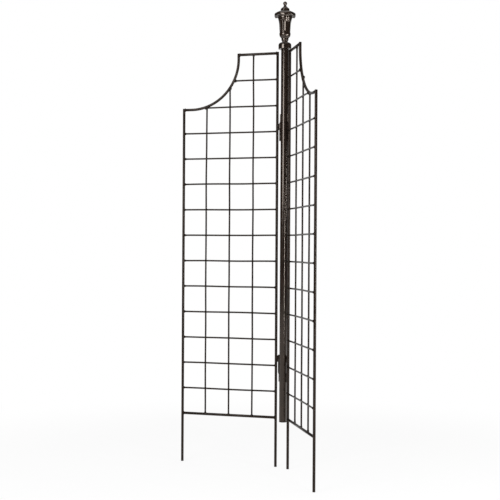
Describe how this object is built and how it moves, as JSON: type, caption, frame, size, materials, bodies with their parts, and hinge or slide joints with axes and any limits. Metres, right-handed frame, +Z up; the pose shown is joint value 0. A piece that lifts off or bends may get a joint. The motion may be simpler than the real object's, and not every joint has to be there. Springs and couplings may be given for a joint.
{
  "type": "freestanding garden trellis",
  "caption": "Freestanding garden trellis: two steel lattice panels with scooped shoulders, hinged to a round post with a cast urn finial.",
  "frame": {"origin": "on the ground, at the centre of the box round the standing trellis", "axes": "+Z up along the post; the V opens towards -Y; left and right panels lie towards -X and +X"},
  "size_m": [0.868, 0.304, 2.153],
  "materials": {
    "bar_steel": "satin dark bronze powder coat",
    "wire_steel": "satin near-black powder coat",
    "hook_steel": "satin dark bronze powder coat",
    "post_steel": "satin dark bronze powder coat",
    "cast_metal": "dark bronze powder coat over a casting, glossy on the edges",
    "plug_plastic": "matt black",
    "zinc_steel": "zinc plated"
  },
  "bodies": {
    "post": {"finial_ball": "cast_metal", "finial_crown": "cast_metal", "finial_nut": "zinc_steel", "finial_stud": "zinc_steel", "finial_urn": "cast_metal", "hook_left_lower": "hook_steel", "hook_left_upper": "hook_steel", "hook_right_lower": "hook_steel", "hook_right_upper": "hook_steel", "post_cap": "cast_metal", "post_end_plug": "plug_plastic", "post_tube": "post_steel"},
    "left_panel": {"left_arc_rail": "bar_steel", "left_bottom_rail": "bar_steel", "left_crossbar_01": "wire_steel", "left_crossbar_02": "wire_steel", "left_crossbar_03": "wire_steel", "left_crossbar_04": "wire_steel", "left_crossbar_05": "wire_steel", "left_crossbar_06": "wire_steel", "left_crossbar_07": "wire_steel", "left_crossbar_08": "wire_steel", "left_crossbar_09": "wire_steel", "left_crossbar_10": "wire_steel", "left_crossbar_11": "wire_steel", "left_crossbar_12": "wire_steel", "left_crossbar_13": "wire_steel", "left_inner_stile": "bar_steel", "left_outer_stile": "bar_steel", "left_ring_lower": "hook_steel", "left_ring_upper": "hook_steel", "left_top_rail": "bar_steel", "left_upright_1": "wire_steel", "left_upright_2": "wire_steel", "left_upright_3": "wire_steel"},
    "right_panel": {"right_arc_rail": "bar_steel", "right_bottom_rail": "bar_steel", "right_crossbar_01": "wire_steel", "right_crossbar_02": "wire_steel", "right_crossbar_03": "wire_steel", "right_crossbar_04": "wire_steel", "right_crossbar_05": "wire_steel", "right_crossbar_06": "wire_steel", "right_crossbar_07": "wire_steel", "right_crossbar_08": "wire_steel", "right_crossbar_09": "wire_steel", "right_crossbar_10": "wire_steel", "right_crossbar_11": "wire_steel", "right_crossbar_12": "wire_steel", "right_crossbar_13": "wire_steel", "right_inner_stile": "bar_steel", "right_outer_stile": "bar_steel", "right_ring_lower": "hook_steel", "right_ring_upper": "hook_steel", "right_top_rail": "bar_steel", "right_upright_1": "wire_steel", "right_upright_2": "wire_steel", "right_upright_3": "wire_steel"}
  },
  "joints": [
    {"name": "left_swing", "type": "hinge", "parent": "post", "child": "left_panel", "pos_m": [-0.02537, 0.09843, 1], "axis": [0, 0, 1], "range_deg": [-111.25, 68.75]},
    {"name": "right_swing", "type": "hinge", "parent": "post", "child": "right_panel", "pos_m": [0.02537, 0.10466, 1], "axis": [0, 0, 1], "range_deg": [-48.75, 131.25]}
  ]
}
